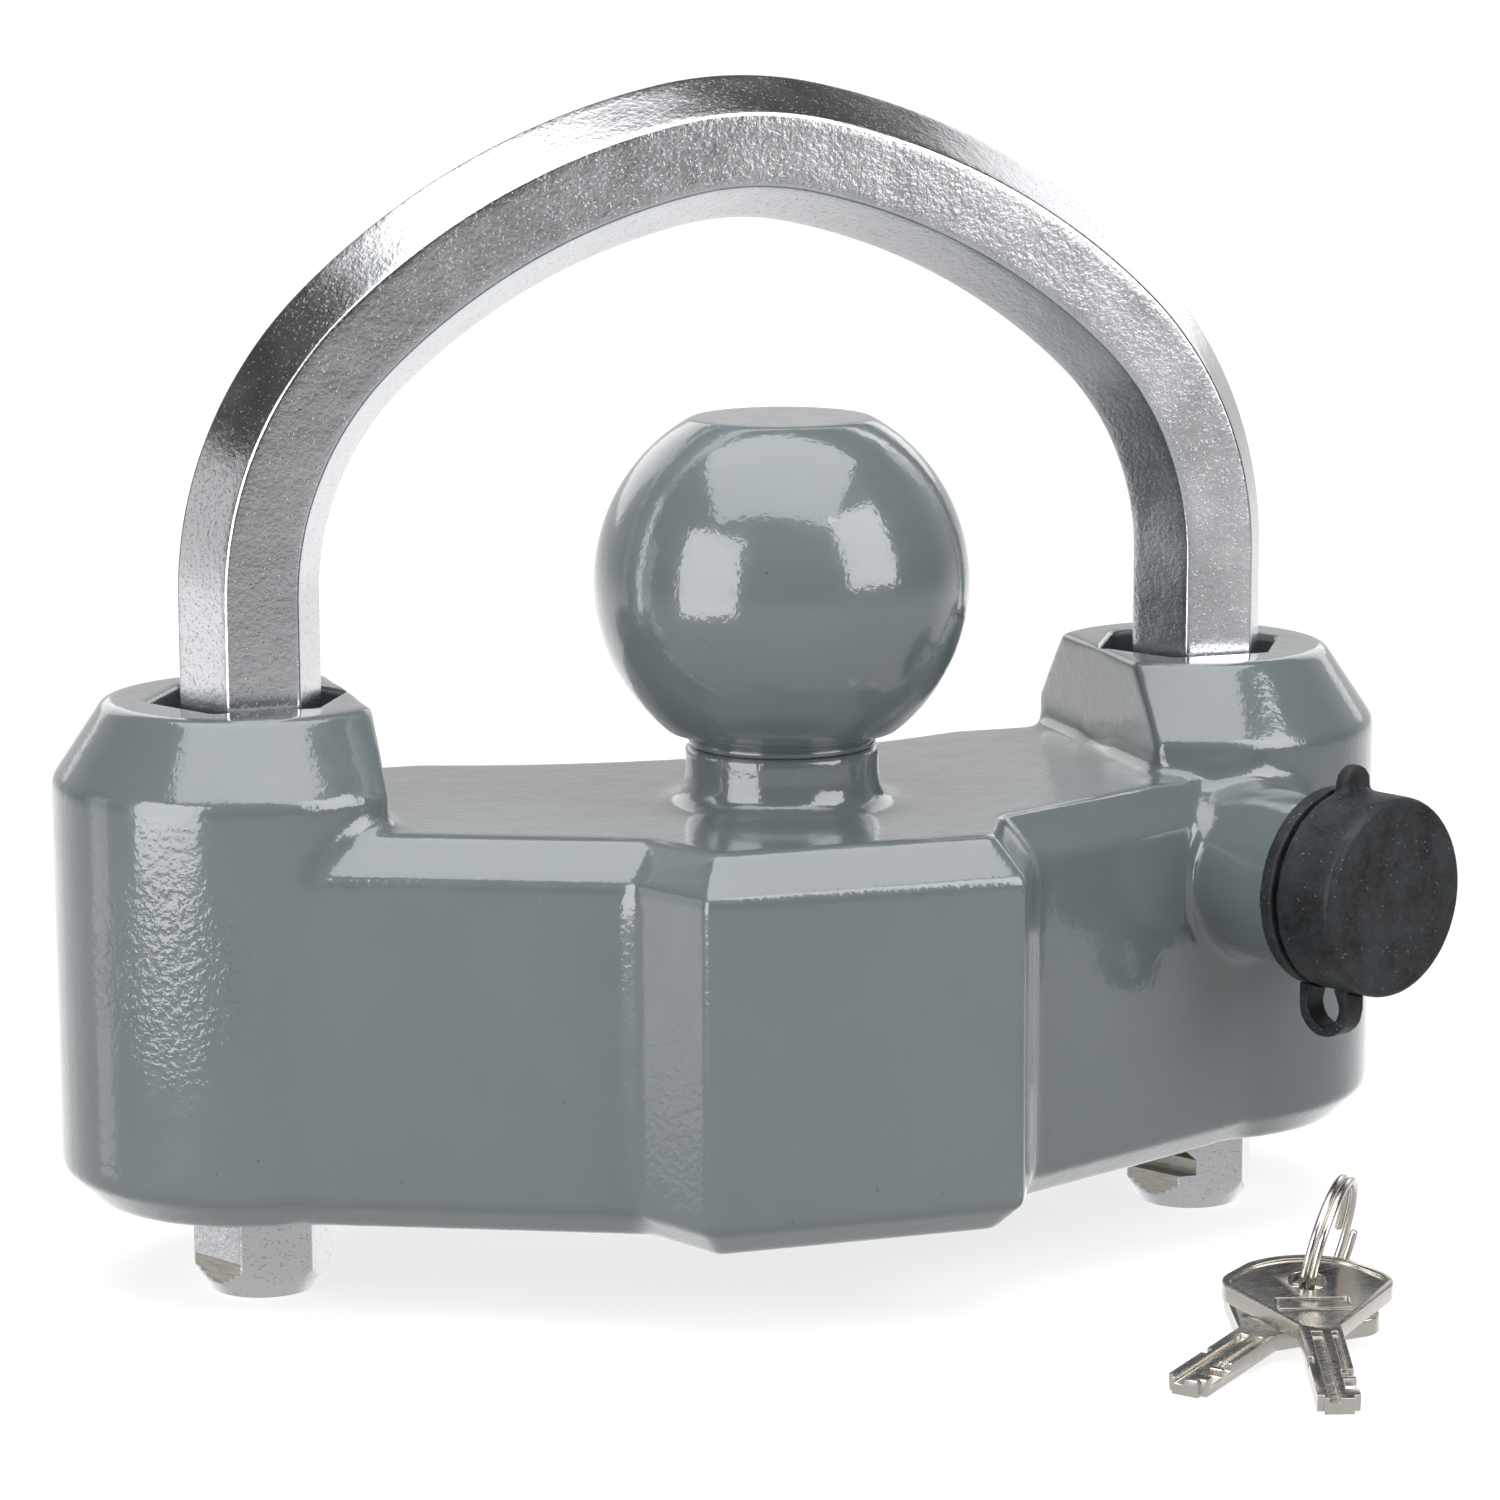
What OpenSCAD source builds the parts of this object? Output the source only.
// Trailer coupler lock: a cast body whose ball fills the socket of an unhitched coupler, a
// hexagonal U-shackle that passes over the coupler and down through both ends of the body,
// a keyed barrel that works a pawl in the shackle's notches, and two keys on a split ring.
// Origin: on the flat underside of the body, midway between the two shackle legs.
// +X runs to the leg with the notches, -Y is the front, +Z is up. Millimetres.

/* [Shackle] */
// Width of the hexagonal bar across its flats
bar_flats = 15.875; // [15.5:0.125:16.25]
// Distance between the axes of the two legs
leg_spacing = 129.5; // [129:0.5:130]
// Height where the straight legs end
leg_top = 77.3; // [76:0.1:80]
// How far the legs stand out under the body
leg_drop = 12.5; // [11:0.5:13]
// Centreline radius of each shoulder
shoulder_r = 44; // [43:0.5:46]
// Angle that each shoulder turns through
shoulder_angle = 46.5; // [45:0.5:48]
// Centreline radius of each long flank
flank_r = 88; // [84:1:92]
// Angle that each flank turns through
flank_angle = 31.5; // [30:0.5:32.5]
// Distance between notches, which is also one step of height
notch_pitch = 7.25; // [7.25:0.05:7.3]
// Number of notches
notch_count = 8; // [7:1:8]
// Depth of a notch below the flat it is cut in
notch_depth = 2.1; // [1.9:0.1:2.2]

/* [Body] */
// Height of the arms and the centre block
body_h = 50.4; // [50:0.2:52]
// Angle by which each arm sweeps back
sweep = 24.5; // [24:0.5:25]
// Distance from the leg axes to the front faces of the arms
arm_front = 20.15; // [20:0.05:20.5]
// Front face of the centre block, as a distance in front of the leg axes
block_front = 51.7; // [51.5:0.1:52.5]
// Width of the front face of the centre block
block_w = 41; // [40:0.5:42]
// Radius of the two leg bosses
boss_r = 25; // [25:0.25:25.5]
// Radius of the flat top of each boss
boss_top_r = 18.3; // [18:0.1:18.8]
// Height of the top of each boss
boss_h = 64.3; // [63.5:0.1:65]
// Width across the flats of the hexagonal passages
passage_flats = 22.2; // [21.8:0.1:22.4]

/* [Ball] */
// Diameter of the ball, a standard 1 7/8 inch size
ball_d = 47.6; // [47.6:0.1:47.7]
// Height of the ball's centre
ball_h = 78.7; // [78.5:0.1:79.5]
// How far the ball's axis lies in front of the leg axes
ball_forward = 18.3; // [18:0.1:19]
// Radius of the flat on top of the ball
ball_flat_r = 11.3; // [10:0.1:12]
// Radius of the neck
neck_r = 12.4; // [12.3:0.1:12.8]

/* [Lock] */
// Height of the barrel's axis
lock_h = 38.2; // [38.1:0.05:38.25]
// How far the barrel's axis lies inboard of the leg axis
lock_in = 11.5; // [11.4:0.05:11.6]
// Outer radius of the lock boss
lock_boss_r = 11.3; // [11.2:0.05:11.5]
// Outer radius of the barrel housing
shell_r = 8.2; // [8.15:0.05:8.2]
// Number of code discs
disc_count = 8; // [7:1:8]

/* [Dust cap] */
// Outer radius of the rubber cap
cap_r = 13; // [13:0.1:13.3]
// Distance from the leg plane to the cap's face
cap_face = 45.4; // [45:0.1:46]

/* [Keys] */
// Width of the bow
bow_w = 21.2; // [20:0.2:22]
// Distance from the hole to the blade's tip
key_reach = 29.5; // [29:0.1:29.5]
// Thickness of the key
key_t = 2.2; // [2:0.1:2.2]
// Mean radius of the split ring
ring_r = 9; // [9:0.1:9.2]

/* [Hidden] */
$fn = 96;

enamel = [0.45, 0.49, 0.50];
plated = [0.80, 0.81, 0.82];
steel = [0.62, 0.63, 0.64];
brass = [0.78, 0.64, 0.36];
rubber = [0.10, 0.10, 0.11];
nickel = [0.74, 0.72, 0.68];

leg_x = leg_spacing / 2;
bar_r = bar_flats / sqrt(3);
bar_half = bar_flats / 2;
passage_r = passage_flats / sqrt(3);
boss_y = 2.4;
passage_y = boss_y;
facet_x = 51.5;
cone_low = 54.4;
boss_foot = 4.3;
arm_back = 25.5;
back_arc_r = 100;
back_arc_y = 118.4;
top_inset = 4.4;
top_drop = 5;
low_inset = 4;
low_rise = 4;
ball_r = ball_d / 2;
seat_h = 57.9;
shank_r = 8;
shank_bottom = 30;

// The shackle's arch: one shoulder, one flank and half of the crown on each side
crown_start = shoulder_angle + flank_angle;
shoulder_c = [leg_x - shoulder_r, leg_top];
flank_c = shoulder_c + (shoulder_r - flank_r) * [cos(shoulder_angle), sin(shoulder_angle)];
crown_r = flank_r + flank_c.x / cos(crown_start);
crown_c = flank_c + (flank_r - crown_r) * [cos(crown_start), sin(crown_start)];

// Notches are cut square to the flat that faces the middle and the front
notch_turn = 30;
notch_wall = 2.1;
notch_first = -7.5;

// Distances along the barrel's axis, from the leg plane outwards
lock_mouth = 38;
shell_back = 11.3;
shell_rear_wall = 13.4;
shell_bore_r = 6.12;
plug_r = 6.05;
plug_back = 13.7;
plug_front = 34.4;
chamber_back = 20.2;
chamber_r = 4.9;
journal_r = 3;
journal_end = 8.6;
clip_back = 10.3;
clip_front = 11;
disc_r = 4.75;
disc_t = 0.9;
stack_pitch = (plug_front - chamber_back) / (disc_count + 0.5);
keyway_w = 5.6;
keyway_t = 2.6;
bar_slot = 1.3;
drive_ecc = 1.63;
drive_r = 1.2;
drive_tip = 3.7;
pin_in_shell = 27;
pin_side = 8;
pin_r = 1.25;
groove_back = 33.75;
groove_front = 35.8;

// The pawl slides square to the notches; all its distances start at the bar's flat
pawl_travel = 2.31;
pawl_nose = 1.9;
pawl_long = 12;
pawl_high = 8;
pawl_wide = 10;
pawl_fit = 0.15;
pawl_tail = -bar_half - pawl_travel - pawl_long;
slot_at = -13.08;
slot_w = 2 * drive_r + 0.6;
slot_depth = 3.3;
pin_room_from = -16.2;
pin_room_long = 7.6;
pin_room_side = 9.6;
spring_hole = 5;
spring_room = 6.9;
spring_r = 2.1;
spring_wire = 0.5;
spring_turns = 7;

// The keys lie on the surface under the legs, their bows held up by the ring under them
floor_z = -leg_drop;
ring_xy = [58.57, -59.15];
ring_turn = -39;
ring_lean = 13;
hole_r = 2.4;
bow_top = 6.2;
neck_at = 12.3;
blade_w = 5.2;
lower_turn = 53.1;
upper_turn = 16.4;
lower_lift = 2.3;
upper_lift = 6;
ring_wire = 0.5;
ring_lead = 2 * ring_wire + 0.05;
ring_h = ring_r * cos(ring_lean) + ring_wire + 0.8 * ring_lead * sin(ring_lean);
bow_corner_r = 2.8;
bow_back_r = 13;
bow_back_half = 32;

// --- helpers ---------------------------------------------------------------------------------

// A hexagonal prism with corners along X and flats along Y
module hex_bar(r, h) {
    linear_extrude(h) circle(r, $fn = 6);
}

// The corner that a bevel takes off the top of a wall that runs from p to q, its outside on
// the right-hand side
module top_bevel(p, q, inset, drop) {
    run = q - p;
    translate([p.x, p.y, 0]) rotate(atan2(run.y, run.x)) translate([-8, 0, 0])
        rotate([90, 0, 90]) linear_extrude(norm(run) + 16)
            polygon([[-2, body_h + 2], [-2, body_h - drop - 2 * drop / inset],
                [inset + 2 * inset / drop, body_h + 2]]);
}

// The same at the foot of the wall
module foot_bevel(p, q, inset, rise) {
    translate([0, 0, body_h]) mirror([0, 0, 1]) top_bevel(p, q, inset, rise);
}

// A ring of square section around the barrel's axis
module tube(r_out, r_in, from, to) {
    translate([0, 0, from]) difference() {
        cylinder(r = r_out, h = to - from);
        translate([0, 0, -1]) cylinder(r = r_in, h = to - from + 2);
    }
}

// Barrel frame: Z along the barrel's axis, out of the arm; X outboard; Y up
module at_lock() {
    translate([leg_x, 0, lock_h]) rotate(sweep) translate([-lock_in, 0, 0])
        rotate([90, 0, 0]) children();
}

// Pawl frame: X outboard across the bar's flat, origin on the leg axis at the barrel's height
module at_pawl() {
    translate([leg_x, 0, lock_h]) rotate(notch_turn) children();
}

// --- cast body -------------------------------------------------------------------------------

// Swept arm on the +X side, its front edges bevelled
module arm() {
    along = [cos(sweep), sin(sweep)];
    foot = [leg_x, 0] + arm_front * [sin(sweep), -cos(sweep)];
    root = foot - 62 * along;
    difference() {
        linear_extrude(body_h)
            polygon([foot, root, [10, root.y], [10, arm_back], [leg_x, arm_back]]);
        top_bevel(root, foot, top_inset, top_drop);
        foot_bevel(root, foot, low_inset, low_rise);
    }
}

// Section of the room behind the body: out is the distance from the wall, away from the body
function behind(out) = [[-low_inset - low_rise, -low_rise], [0, low_rise],
    [0, body_h - top_drop], [-2 * top_inset, body_h + top_drop], [out, body_h + top_drop],
    [out, -low_rise]];

// What hollows the back between the legs, and what flattens it next to them
module back_cutters() {
    translate([0, back_arc_y, 0]) rotate_extrude($fn = 240) difference() {
        translate([back_arc_r, 0]) mirror([1, 0]) polygon(behind(back_arc_r + 10));
        translate([-30, -20]) square([30, body_h + 40]);
    }
    translate([-leg_x - 10, arm_back, 0]) rotate([90, 0, 90]) linear_extrude(leg_spacing + 20)
        polygon(behind(30));
}

// Block in the middle, under the ball, with angled sides
module centre_block() {
    half = block_w / 2;
    corner = [half + 12.5, -block_front + 25.8];
    difference() {
        linear_extrude(body_h) polygon([[-half, -block_front], [half, -block_front], corner,
            [corner.x, 30], [-corner.x, 30], [-corner.x, corner.y]]);
        for (bevels = [0, 1]) {
            mirror([bevels, 0, 0]) {
                top_bevel([half, -block_front], corner, top_inset, top_drop);
                foot_bevel([half, -block_front], corner, low_inset, low_rise);
            }
        }
        top_bevel([-half, -block_front], [half, -block_front], top_inset, top_drop);
        foot_bevel([-half, -block_front], [half, -block_front], low_inset, low_rise);
    }
}

// Column around a leg: foot bevel, straight wall, cone, and a flat cut on its inner side
module leg_boss() {
    difference() {
        translate([leg_x, boss_y, 0]) rotate_extrude()
            polygon([[0, 0], [boss_r - boss_foot, 0], [boss_r, boss_foot], [boss_r, cone_low],
                [boss_top_r, boss_h], [0, boss_h]]);
        translate([facet_x - 30, -40, body_h]) cube([30, 80, 30]);
    }
}

// Round boss around the barrel, and the groove that holds the rubber ring
module lock_boss() {
    at_lock() rotate_extrude() polygon([[0, 8], [lock_boss_r, 8], [lock_boss_r, groove_back],
        [lock_boss_r - 1, groove_back], [lock_boss_r - 1, groove_front],
        [lock_boss_r - 0.25, groove_front], [lock_boss_r - 0.25, lock_mouth - 0.5],
        [lock_boss_r - 0.75, lock_mouth], [0, lock_mouth]]);
}

// Room for the pawl, open to the leg passage, and beside it room for the drive pin
module pawl_room() {
    back = pawl_tail - 0.4;
    mouth = -bar_half + 1.5;
    half_w = pawl_wide / 2 + pawl_fit;
    half_h = pawl_high / 2 + pawl_fit;
    at_pawl() {
        translate([back, -half_w, -half_h]) cube([mouth - back, 2 * half_w, 2 * half_h]);
        translate([pin_room_from, -pin_room_side, -half_h])
            cube([pin_room_long, pin_room_side, 2 * half_h]);
        translate([pawl_tail - spring_room, 0, 0]) rotate([0, 90, 0])
            cylinder(r = spring_r + 0.6, h = spring_room + 1);
    }
}

module lock_body() {
    color(enamel) difference() {
        union() {
            difference() {
                union() {
                    centre_block();
                    arm();
                    mirror([1, 0, 0]) arm();
                }
                back_cutters();
            }
            leg_boss();
            mirror([1, 0, 0]) leg_boss();
            translate([0, -ball_forward, 40]) cylinder(r = neck_r, h = seat_h - 40);
            lock_boss();
        }
        for (side = [-1, 1])
            translate([side * leg_x, passage_y, -1]) hex_bar(passage_r, boss_h + 2);
        translate([0, -ball_forward, shank_bottom]) cylinder(r = shank_r, h = seat_h);
        at_lock() {
            translate([0, 0, 9.8]) cylinder(r = shell_r + 0.05, h = lock_mouth);
            translate([pin_side, -13, pin_in_shell]) rotate([-90, 0, 0])
                cylinder(r = pin_r, h = 19.5);
        }
        pawl_room();
    }
}

// --- ball ------------------------------------------------------------------------------------

module coupler_ball() {
    flat_z = sqrt(ball_r * ball_r - ball_flat_r * ball_flat_r);
    color(enamel) translate([0, -ball_forward, 0]) difference() {
        union() {
            intersection() {
                translate([0, 0, ball_h]) sphere(ball_r);
                translate([0, 0, seat_h]) cylinder(r = 2 * ball_r, h = ball_h - seat_h + flat_z);
            }
            translate([0, 0, seat_h]) cylinder(r = neck_r - 0.35, h = 6);
            translate([0, 0, shank_bottom + 0.5]) cylinder(r = shank_r, h = ball_h - shank_bottom);
        }
        translate([0, 0, shank_bottom]) cylinder(r1 = shank_r + 0.5, r2 = shank_r - 2, h = 0.6);
    }
}

// --- shackle ---------------------------------------------------------------------------------

// Points along an arc of the centreline, each with the way its section faces
function arc(centre, radius, from, to, steps) = [for (i = [1:steps])
    let(t = from + (to - from) * i / steps)
    [centre.x + radius * cos(t), centre.y + radius * sin(t), t]];

// The bar's six corners at one such point
function section(p) = [for (b = [0:60:300])
    [p.x + bar_r * cos(b) * cos(p.z), bar_r * sin(b), p.y + bar_r * cos(b) * sin(p.z)]];

// The whole bent bar, from the end of one leg to the end of the other
module bent_bar() {
    turn = 3;
    opposite = 180 - crown_start;
    path = concat([[leg_x, -leg_drop, 0], [leg_x, leg_top, 0]],
        arc(shoulder_c, shoulder_r, 0, shoulder_angle, round(shoulder_angle / turn)),
        arc(flank_c, flank_r, shoulder_angle, crown_start, round(flank_angle / turn)),
        arc(crown_c, crown_r, crown_start, opposite, 8),
        arc([-flank_c.x, flank_c.y], flank_r, opposite, 180 - shoulder_angle,
            round(flank_angle / turn)),
        arc([-shoulder_c.x, shoulder_c.y], shoulder_r, 180 - shoulder_angle, 180,
            round(shoulder_angle / turn)),
        [[-leg_x, -leg_drop, 180]]);
    last = len(path) - 1;
    sides = [for (i = [0:last - 1], k = [0:5])
        [6 * i + k, 6 * (i + 1) + k, 6 * (i + 1) + (k + 1) % 6, 6 * i + (k + 1) % 6]];
    ends = [[0, 1, 2, 3, 4, 5], [for (k = [5:-1:0]) 6 * last + k]];
    polyhedron([for (p = path) each section(p)], concat(sides, ends));
}

// What the bevel takes off the end of a leg
module end_bevel() {
    translate([leg_x, 0, -leg_drop]) rotate_extrude()
        polygon([[6.9, -0.01], [12, -0.01], [12, 6.8], [bar_r, 3.9]]);
}

// One ratchet notch: flat floor, short upright wall, sloping roof
module notch() {
    bottom = bar_half - notch_depth;
    rotate([90, 0, 0]) linear_extrude(24, center = true)
        polygon([[bottom, 0], [bar_half + 2, 0], [bar_half + 2, notch_wall + notch_depth + 2],
            [bottom, notch_wall]]);
}

module shackle() {
    color(plated) difference() {
        bent_bar();
        end_bevel();
        mirror([1, 0, 0]) end_bevel();
        for (i = [0:notch_count - 1])
            translate([leg_x, 0, notch_first + i * notch_pitch])
                rotate(180 + notch_turn) notch();
    }
}

// --- barrel ----------------------------------------------------------------------------------

module lock_shell() {
    color(steel) at_lock() difference() {
        translate([0, 0, shell_back]) cylinder(r = shell_r, h = lock_mouth - shell_back);
        translate([0, 0, shell_rear_wall]) cylinder(r = shell_bore_r, h = 36.5 - shell_rear_wall);
        translate([0, 0, shell_back - 1]) cylinder(r = journal_r + 0.05, h = 4);
        translate([0, 0, 36]) cylinder(r = 4.4, h = 4);
        translate([0, 0, lock_mouth - 0.8]) cylinder(r1 = 4.4, r2 = 6, h = 1.6);
        translate([-6.9, -0.8, chamber_back]) cube([2, 1.6, plug_front - chamber_back]);
        translate([pin_side, -13, pin_in_shell]) rotate([-90, 0, 0]) cylinder(r = pin_r, h = 26);
    }
}

module shell_pin() {
    color(steel) at_lock() translate([pin_side, -6.6, pin_in_shell]) rotate([-90, 0, 0])
        difference() {
            cylinder(r = pin_r, h = 13);
            translate([0, 0, -1]) cylinder(r = pin_r - 0.5, h = 15);
        }
}

module lock_plug() {
    color(brass) at_lock() difference() {
        union() {
            translate([0, 0, plug_back]) cylinder(r = plug_r, h = plug_front - plug_back);
            translate([0, 0, journal_end]) cylinder(r = journal_r, h = 6);
        }
        translate([0, 0, chamber_back]) cylinder(r = chamber_r, h = plug_front);
        translate([-bar_slot / 2, -8, chamber_back]) cube([bar_slot, 8, plug_front]);
        tube(journal_r + 1, 2.4, clip_back - 0.05, clip_front + 0.05);
        rotate(135) translate([drive_ecc, 0, journal_end - 1]) cylinder(r = drive_r, h = 2.4);
    }
}

// Slot for the key's blade
module keyway(h) {
    translate([-keyway_w / 2, -keyway_t / 2, -h / 2]) cube([keyway_w, keyway_t, h]);
}

module drill_guard() {
    color(steel) at_lock() translate([0, 0, plug_front + 0.15]) difference() {
        cylinder(r = plug_r - 0.05, h = 1.65);
        keyway(8);
    }
}

// One disc: a washer with a slot and an edge gate for the side bar
module code_disc() {
    difference() {
        cylinder(r = disc_r, h = disc_t);
        keyway(4);
        translate([-0.8, -8, -1]) cube([1.6, 8 - 4.1, 4]);
    }
}

module lock_discs() {
    color(brass) at_lock() for (i = [0:disc_count - 1])
        translate([0, 0, chamber_back + (i + 0.5) * stack_pitch]) code_disc();
}

module disc_spacers() {
    gap = 0.05;
    color(steel) at_lock() for (i = [0:disc_count])
        translate([0, 0, chamber_back + (i - 0.5) * stack_pitch + disc_t + gap]) difference() {
            cylinder(r = disc_r, h = stack_pitch - disc_t - 2 * gap);
            translate([0, 0, -1]) cylinder(r = 3.2, h = 4);
            translate([-0.8, -8, -1]) cube([1.6, 8 - 4.1, 4]);
        }
}

module side_bar() {
    color(steel) at_lock() translate([-0.6, -5.95, chamber_back + 0.2])
        cube([1.2, 1.75, plug_front - chamber_back - 0.4]);
}

module plug_clip() {
    color(steel) at_lock() difference() {
        tube(4.6, 2.42, clip_back, clip_front);
        translate([-6, -1.7, clip_back - 1]) cube([6, 3.4, 3]);
    }
}

module drive_pin() {
    color(steel) at_lock() rotate(135) translate([drive_ecc, 0, drive_tip])
        cylinder(r = drive_r, h = journal_end + 1.4 - drive_tip);
}

// --- pawl ------------------------------------------------------------------------------------

// Drawn back, clear of the bar; it slides out by pawl_travel into the notch
module pawl() {
    front = pawl_tail + pawl_long + pawl_nose;
    face = pawl_tail + pawl_long - 0.45;
    tooth = notch_first + 6 * notch_pitch - lock_h + pawl_fit;
    tooth_t = notch_wall - 0.4;
    color(steel) at_pawl() difference() {
        rotate([90, 0, 0]) linear_extrude(pawl_wide, center = true)
            polygon([[front, tooth], [front, tooth + tooth_t],
                [face, tooth + tooth_t + front - face], [face, pawl_high / 2],
                [pawl_tail, pawl_high / 2], [pawl_tail, -pawl_high / 2],
                [face, -pawl_high / 2], [face, tooth]]);
        translate([pawl_tail - 1, 0, 0]) rotate([0, 90, 0])
            cylinder(r = spring_r + 0.2, h = spring_hole + 1);
        translate([slot_at - slot_w / 2, -pawl_wide / 2 - 1, -0.5])
            cube([slot_w, slot_depth + 1, pawl_high]);
    }
}

// A coil of round wire about Z, from z = 0 at angle 0, as one closed surface
module coil(radius, wire, lead, turns, per_turn, around) {
    steps = turns * per_turn;
    points = [for (i = [0:steps], k = [0:around - 1])
        let(a = 360 * i / per_turn, b = 360 * k / around, r = radius + wire * cos(b))
        [r * cos(a), r * sin(a), lead * i / per_turn + wire * sin(b)]];
    sides = [for (i = [0:steps - 1], k = [0:around - 1])
        [around * i + k, around * i + (k + 1) % around,
            around * (i + 1) + (k + 1) % around, around * (i + 1) + k]];
    ends = [[for (k = [around - 1:-1:0]) k], [for (k = [0:around - 1]) around * steps + k]];
    polyhedron(points, concat(sides, ends));
}

module pawl_spring() {
    wire = spring_wire / 2;
    start = pawl_tail - spring_room + 0.1 + wire;
    end = pawl_tail + spring_hole - 0.1 - wire;
    color(plated) at_pawl() translate([start, 0, 0]) rotate([0, 90, 0])
        coil(spring_r - wire, wire, (end - start) / spring_turns, spring_turns, 20, 6);
}

// --- rubber cap ------------------------------------------------------------------------------

module cap_ring() {
    color(rubber) at_lock() tube(cap_r, lock_boss_r - 0.95, groove_back + 0.02, groove_front - 0.05);
}

// Folded strap from the ring's foot to the cap, a little to the inboard side
module cap_strap() {
    outer = 4;
    wall = 1.4;
    mid = groove_back + 0.1 + outer;
    drop = -14.7;
    color(rubber) at_lock() difference() {
        translate([-1.7, 0, 0]) rotate([0, -90, 0]) linear_extrude(3.4) difference() {
            union() {
                translate([mid, drop]) circle(outer);
                translate([mid - outer, drop]) square([2 * outer, -drop - 10]);
            }
            hull() {
                translate([mid, drop]) circle(outer - wall);
                translate([mid, drop + 5]) circle(0.6);
            }
        }
        translate([0, 0, groove_front - 0.04]) cylinder(r = cap_r + 0.04, h = 20);
        translate([0, 0, groove_back - 5]) cylinder(r = cap_r, h = 20);
    }
}

module dust_cap() {
    back = groove_front + 0.7;
    color(rubber) at_lock() {
        difference() {
            union() {
                translate([0, 0, back]) cylinder(r = cap_r, h = cap_face - back - 0.6);
                translate([0, 0, cap_face - 0.6]) cylinder(r1 = cap_r, r2 = cap_r - 0.6, h = 0.6);
                translate([0.6, 0, back]) linear_extrude(1.8) {
                    translate([0, cap_r + 0.6]) circle(2.6);
                    translate([-2.6, cap_r - 1.5]) square([5.2, 2.1]);
                }
            }
            translate([0, 0, back - 1]) cylinder(r = lock_boss_r - 0.15, h = 43.8 - back + 1);
        }
    }
}

// --- keys ------------------------------------------------------------------------------------

// Outline of the bow about the hole, the blade towards -Y
module bow(inset = 0) {
    hull() {
        for (side = [-1, 1]) {
            translate([side * (bow_w / 2 - bow_corner_r), -0.6])
                circle(bow_corner_r - inset, $fn = 32);
            translate([side * 1.5, -neck_at + 1.3]) circle(1.3 - inset * 0.6, $fn = 32);
        }
        translate([0, bow_top - bow_back_r])
            polygon([for (a = [-bow_back_half:4:bow_back_half])
                (bow_back_r - inset) * [sin(a), cos(a)]]);
    }
}

module key() {
    tip = key_reach;
    rim = 0.35;
    difference() {
        union() {
            linear_extrude(key_t) bow();
            translate([-blade_w / 2, -tip + 0.8, 0]) cube([blade_w, tip - neck_at + 1, key_t]);
            translate([-blade_w / 2 + 0.8, -tip, 0]) cube([blade_w - 1.6, 2, key_t]);
        }
        for (face = [key_t - rim, rim - 2]) translate([0, 0, face]) linear_extrude(2) bow(1);
        translate([0, 0, -1]) cylinder(r = hole_r, h = 6);
        translate([-1.3, -tip - 1, key_t - 0.75]) cube([1.3, tip - neck_at, 2]);
        translate([1.2, -tip + 6.5, key_t - 0.6]) cube([0.7, tip - neck_at - 7.5, 2]);
        for (cut = [[2.4, 2.2], [5.4, 1.5]])
            translate([1, -tip + cut.x, key_t - 1]) cube([3, cut.y, 2]);
        translate([-blade_w / 2 - 1, -tip + 8.6, key_t - 0.9]) cube([1.7, 1.4, 2]);
    }
}

// Where the leaning ring's wire passes a given height above the surface, from its centre
function ring_drop(h) = (h - ring_h) / cos(ring_lean);
function ring_point(h) = [ring_drop(h) * sin(ring_lean),
    -sqrt(ring_r * ring_r - pow(ring_drop(h), 2))];

// A key on the ring's wire: its face tilts about the hole, and its tip is on the surface
module lay_key(turn, lift) {
    tilt = asin(lift / key_reach);
    hole = ring_point(lift + key_t / 2);
    translate([ring_xy.x, ring_xy.y, floor_z]) rotate(ring_turn)
        translate([hole.x, hole.y, lift]) rotate(-ring_turn - turn)
            rotate([tilt, 0, 0]) key();
}

module key_1() {
    color(nickel) lay_key(upper_turn, upper_lift);
}

module key_2() {
    color(nickel) lay_key(lower_turn, lower_lift);
}

// Two turns of wire, leaning a little, through both holes and round the backs of the bows
module key_ring() {
    color(nickel) translate([ring_xy.x, ring_xy.y, floor_z + ring_h]) rotate(ring_turn)
        rotate([0, 90 + ring_lean, 0]) translate([0, 0, -ring_lead]) rotate(90)
            coil(ring_r, ring_wire, ring_lead, 2, 48, 12);
}

lock_body();
coupler_ball();
shackle();
lock_shell();
shell_pin();
lock_plug();
drill_guard();
lock_discs();
disc_spacers();
side_bar();
plug_clip();
drive_pin();
pawl();
pawl_spring();
cap_ring();
cap_strap();
dust_cap();
key_1();
key_2();
key_ring();
